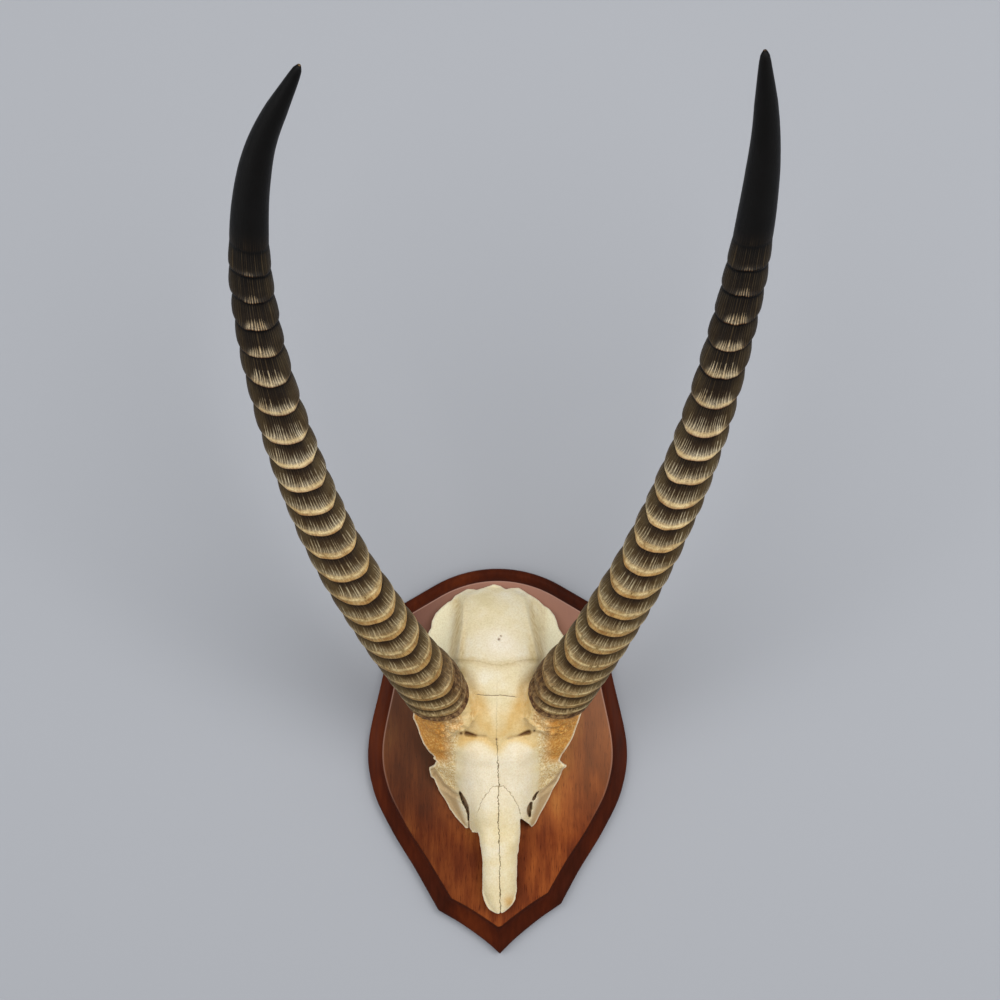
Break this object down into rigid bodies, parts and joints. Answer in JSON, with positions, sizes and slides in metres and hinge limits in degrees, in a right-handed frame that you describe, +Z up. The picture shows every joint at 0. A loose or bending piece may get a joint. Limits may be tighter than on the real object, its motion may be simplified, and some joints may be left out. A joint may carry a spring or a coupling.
{
  "type": "waterbuck horn plaque mount",
  "caption": "Ringed antelope horns on a bone skull plate, screwed to a shield-shaped wooden board that hangs on a wall.",
  "frame": {"origin": "middle of the board's flat back face, which lies on the wall in y = 0", "axes": "+Z up the wall, +Y into the wall, -Y out towards the viewer, +X to the viewer's right"},
  "size_m": [0.4356, 0.477, 0.7644],
  "materials": {
    "board_wood": "red-brown stained hardwood, satin varnish, darker routed edge",
    "bone": "bleached bone, cream with yellow staining, dry satin",
    "horn": "ringed keratin horn, golden brown low down to near-black at the tip, soft sheen",
    "brassed_steel": "brass-plated pressed steel",
    "zinc_steel": "zinc-plated steel"
  },
  "bodies": {
    "root": {"plaque": "board_wood", "skull_plate": "bone", "left_horn": "horn", "right_horn": "horn", "sawtooth_hanger": "brassed_steel", "hanger_nail_1": "brassed_steel", "hanger_nail_2": "brassed_steel", "skull_screw_1": "zinc_steel", "skull_screw_2": "zinc_steel"}
  },
  "joints": []
}
